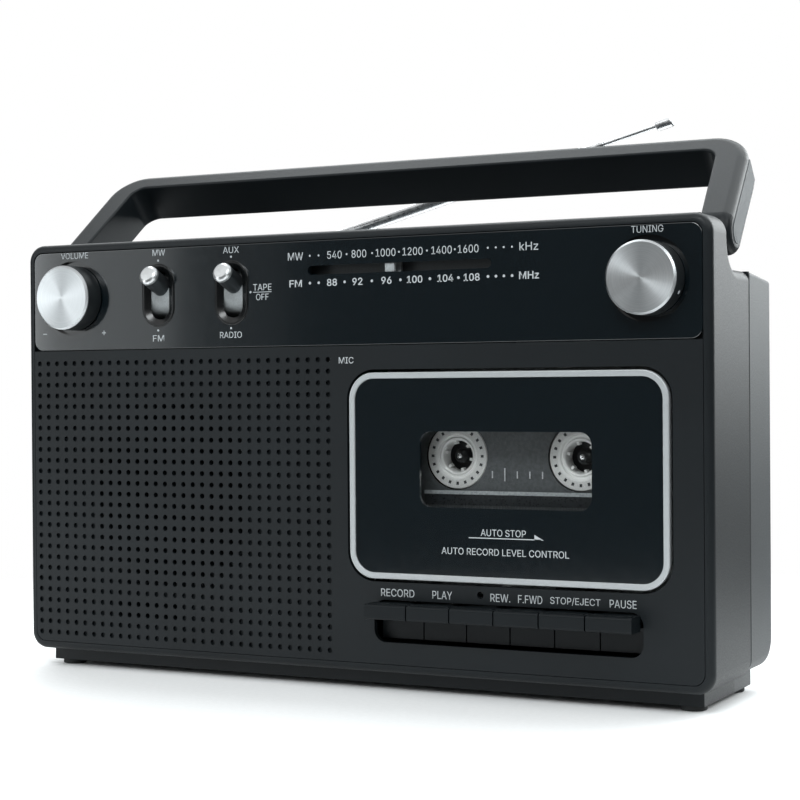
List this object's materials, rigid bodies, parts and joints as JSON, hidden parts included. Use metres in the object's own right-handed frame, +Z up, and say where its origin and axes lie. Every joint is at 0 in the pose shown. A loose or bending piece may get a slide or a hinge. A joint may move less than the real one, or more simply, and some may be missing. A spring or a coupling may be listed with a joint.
{
  "type": "portable cassette player",
  "caption": "Portable radio cassette player: flat upright case with a speaker grille, hinged tape lid, piano keys, dial, knobs, folding strap handle and telescopic aerial.",
  "frame": {"origin": "middle of the base on the table, under the centre of the overall box", "axes": "+X to the right seen from the front, +Y towards the back, +Z up"},
  "size_m": [0.28, 0.0958, 0.2101],
  "materials": {
    "case_abs": "fine moulded texture, matt",
    "rear_abs": "fine moulded texture, matt",
    "gloss_panel": "polished",
    "satin_ring": "satin silver",
    "spun_aluminium": "spun face, turned rim",
    "black_plastic": "satin",
    "lever_metal": "polished",
    "grey_plastic": "satin",
    "clear_window": "polished",
    "tape_shell": "smoked, translucent",
    "white_plastic": "satin",
    "tape_film": "wound tape",
    "zinc_steel": "zinc plated",
    "brass": "turned",
    "chrome": "polished",
    "rubber": "moulded",
    "paper": "pressed paper",
    "board": "lacquered",
    "cell_jacket": "printed sleeve, plain"
  },
  "bodies": {
    "case": {"front_shell": "case_abs", "rear_shell": "rear_abs", "front_panel": "case_abs", "dial_panel": "gloss_panel", "feet": "rubber", "case_screws": "zinc_steel", "volume_control": "zinc_steel", "tuning_capacitor": "zinc_steel", "key_shaft": "zinc_steel", "deck_chassis": "zinc_steel", "motor": "zinc_steel", "drive_belt": "rubber", "speaker_frame": "zinc_steel", "speaker_cone": "paper", "microphone": "zinc_steel", "circuit_board": "board", "jack_sockets": "black_plastic", "batteries": "cell_jacket", "mains_inlet": "black_plastic", "mains_transformer": "zinc_steel", "handle_pins": "zinc_steel", "antenna_bracket": "black_plastic"},
    "handle": {"handle": "case_abs"},
    "volume": {"volume_knob": "black_plastic", "volume_knob_cap": "spun_aluminium"},
    "tuning": {"tuning_knob": "black_plastic", "tuning_knob_cap": "spun_aluminium", "tuning_shaft": "brass"},
    "pointer": {"dial_pointer": "grey_plastic"},
    "drum": {"tuning_drum": "white_plastic"},
    "band_switch": {"band_switch_lever": "lever_metal", "band_switch_drum": "grey_plastic"},
    "function_switch": {"function_switch_lever": "lever_metal", "function_switch_drum": "grey_plastic"},
    "lid": {"cassette_lid": "gloss_panel", "lid_trim_ring": "satin_ring", "lid_window": "clear_window", "cassette_shell": "tape_shell"},
    "hub_left": {"cassette_hub_left": "white_plastic", "tape_pack": "tape_film"},
    "hub_right": {"cassette_hub_right": "white_plastic"},
    "spindle_left": {"spindle_left": "black_plastic"},
    "spindle_right": {"spindle_right": "black_plastic"},
    "head_bar": {"head_bar": "zinc_steel", "tape_heads": "zinc_steel"},
    "pinch_roller": {"pinch_roller": "rubber"},
    "flywheel": {"flywheel": "brass"},
    "motor_pulley": {"motor_pulley": "brass"},
    "battery_door": {"battery_door": "rear_abs"},
    "swivel": {"antenna_swivel": "chrome"},
    "aerial": {"antenna_tube_1": "chrome"},
    "aerial_2": {"antenna_tube_2": "chrome"},
    "aerial_3": {"antenna_tube_3": "chrome"},
    "aerial_rod": {"antenna_rod": "chrome"},
    "record_key": {"record_key": "black_plastic"},
    "play_key": {"play_key": "black_plastic"},
    "rewind_key": {"rewind_key": "black_plastic"},
    "fast_forward_key": {"fast_forward_key": "black_plastic"},
    "stop_eject_key": {"stop_eject_key": "black_plastic"},
    "pause_key": {"pause_key": "black_plastic"}
  },
  "joints": [
    {"name": "handle_fold", "type": "hinge", "parent": "case", "child": "handle", "pos_m": [0, -0.0097, 0.161], "axis": [-1, 0, 0], "range_deg": [-48.9, 41.1]},
    {"name": "volume_turn", "type": "hinge", "parent": "case", "child": "volume", "pos_m": [-0.1179, -0.0386, 0.1443], "axis": [0, 1, 0], "range_deg": [-150, 150]},
    {"name": "tuning_turn", "type": "hinge", "parent": "case", "child": "tuning", "pos_m": [0.1179, -0.0386, 0.1443], "axis": [0, 1, 0], "range_deg": [-252, 306]},
    {"name": "pointer_slide", "type": "slide", "parent": "case", "child": "pointer", "axis": [1, 0, 0], "range_m": [-0.0304, 0.0369]},
    {"name": "drum_turn", "type": "hinge", "parent": "case", "child": "drum", "pos_m": [0.085, -0.0306, 0.137], "axis": [0, 1, 0], "range_deg": [-79.2, 96.1]},
    {"name": "band_switch_tilt", "type": "hinge", "parent": "case", "child": "band_switch", "pos_m": [-0.0777, -0.0286, 0.1443], "axis": [1, 0, 0], "range_deg": [0, 48]},
    {"name": "function_switch_tilt", "type": "hinge", "parent": "case", "child": "function_switch", "pos_m": [-0.0449, -0.0286, 0.1443], "axis": [1, 0, 0], "range_deg": [0, 48]},
    {"name": "lid_open", "type": "hinge", "parent": "case", "child": "lid", "pos_m": [0.06505, -0.034, 0.051], "axis": [1, 0, 0], "range_deg": [0, 30]},
    {"name": "spindle_left_spin", "type": "hinge", "parent": "case", "child": "spindle_left", "pos_m": [0.0415, -0.0186, 0.0841], "axis": [0, 1, 0], "continuous": true},
    {"name": "spindle_right_spin", "type": "hinge", "parent": "case", "child": "spindle_right", "pos_m": [0.0886, -0.0186, 0.0841], "axis": [0, 1, 0], "continuous": true},
    {"name": "hub_left_spin", "type": "hinge", "parent": "lid", "child": "hub_left", "pos_m": [0.0415, -0.02285, 0.0841], "axis": [0, 1, 0], "continuous": true},
    {"name": "hub_right_spin", "type": "hinge", "parent": "lid", "child": "hub_right", "pos_m": [0.0886, -0.02285, 0.0841], "axis": [0, 1, 0], "continuous": true},
    {"name": "record_key_press", "type": "hinge", "parent": "case", "child": "record_key", "pos_m": [0.0233, -0.0066, 0.027], "axis": [1, 0, 0], "range_deg": [0, 5], "stiffness_Nm_per_rad": 0.6, "springref_deg": -4.58},
    {"name": "play_key_press", "type": "hinge", "parent": "case", "child": "play_key", "pos_m": [0.04, -0.0066, 0.027], "axis": [1, 0, 0], "range_deg": [0, 5], "stiffness_Nm_per_rad": 0.6, "springref_deg": -4.58},
    {"name": "rewind_key_press", "type": "hinge", "parent": "case", "child": "rewind_key", "pos_m": [0.0567, -0.0066, 0.027], "axis": [1, 0, 0], "range_deg": [0, 5], "stiffness_Nm_per_rad": 0.6, "springref_deg": -4.58},
    {"name": "fast_forward_key_press", "type": "hinge", "parent": "case", "child": "fast_forward_key", "pos_m": [0.0734, -0.0066, 0.027], "axis": [1, 0, 0], "range_deg": [0, 5], "stiffness_Nm_per_rad": 0.6, "springref_deg": -4.58},
    {"name": "stop_eject_key_press", "type": "hinge", "parent": "case", "child": "stop_eject_key", "pos_m": [0.0901, -0.0066, 0.027], "axis": [1, 0, 0], "range_deg": [0, 5], "stiffness_Nm_per_rad": 0.6, "springref_deg": -4.58},
    {"name": "pause_key_press", "type": "hinge", "parent": "case", "child": "pause_key", "pos_m": [0.1068, -0.0066, 0.027], "axis": [1, 0, 0], "range_deg": [0, 5], "stiffness_Nm_per_rad": 0.6, "springref_deg": -4.58},
    {"name": "head_lift", "type": "slide", "parent": "case", "child": "head_bar", "axis": [0, 0, 1], "range_m": [0, 0.00501]},
    {"name": "pinch_roller_spin", "type": "hinge", "parent": "head_bar", "child": "pinch_roller", "pos_m": [0.08505, -0.0229, 0.03995], "axis": [0, 1, 0], "continuous": true},
    {"name": "flywheel_spin", "type": "hinge", "parent": "case", "child": "flywheel", "pos_m": [0.08505, -0.0086, 0.0525], "axis": [0, 1, 0], "continuous": true},
    {"name": "motor_spin", "type": "hinge", "parent": "case", "child": "motor_pulley", "pos_m": [0.10305, -0.0086, 0.1], "axis": [0, 1, 0], "continuous": true},
    {"name": "battery_door_open", "type": "hinge", "parent": "case", "child": "battery_door", "pos_m": [-0.073, 0.03035, 0.02105], "axis": [-1, 0, 0], "range_deg": [0, 80]},
    {"name": "aerial_swivel", "type": "hinge", "parent": "case", "child": "swivel", "pos_m": [-0.1004, 0.0439, 0.157], "axis": [0, 0, 1], "range_deg": [0, 180]},
    {"name": "aerial_tilt", "type": "hinge", "parent": "swivel", "child": "aerial", "pos_m": [-0.1004, 0.0439, 0.157], "axis": [0, -1, 0], "range_deg": [-14.4, 75]},
    {"name": "aerial_slide_2", "type": "slide", "parent": "aerial", "child": "aerial_2", "axis": [0.9686, 0, 0.2487], "range_m": [-0.009, 0.118]},
    {"name": "aerial_slide_3", "type": "slide", "parent": "aerial_2", "child": "aerial_3", "axis": [0.9686, 0, 0.2487], "range_m": [-0.009, 0.118]},
    {"name": "aerial_slide_rod", "type": "slide", "parent": "aerial_3", "child": "aerial_rod", "axis": [0.9686, 0, 0.2487], "range_m": [-0.021, 0.1]}
  ],
  "couplings": [
    {"joint": "pointer_slide", "follows": "tuning_turn", "m_per_rad": 0.0069},
    {"joint": "drum_turn", "follows": "tuning_turn", "ratio": 0.31364},
    {"joint": "hub_left_spin", "follows": "spindle_left_spin", "ratio": 1},
    {"joint": "hub_right_spin", "follows": "spindle_right_spin", "ratio": 1},
    {"joint": "motor_spin", "follows": "flywheel_spin", "ratio": 4.8},
    {"joint": "head_lift", "follows": "play_key_press", "m_per_rad": 0.0573}
  ]
}
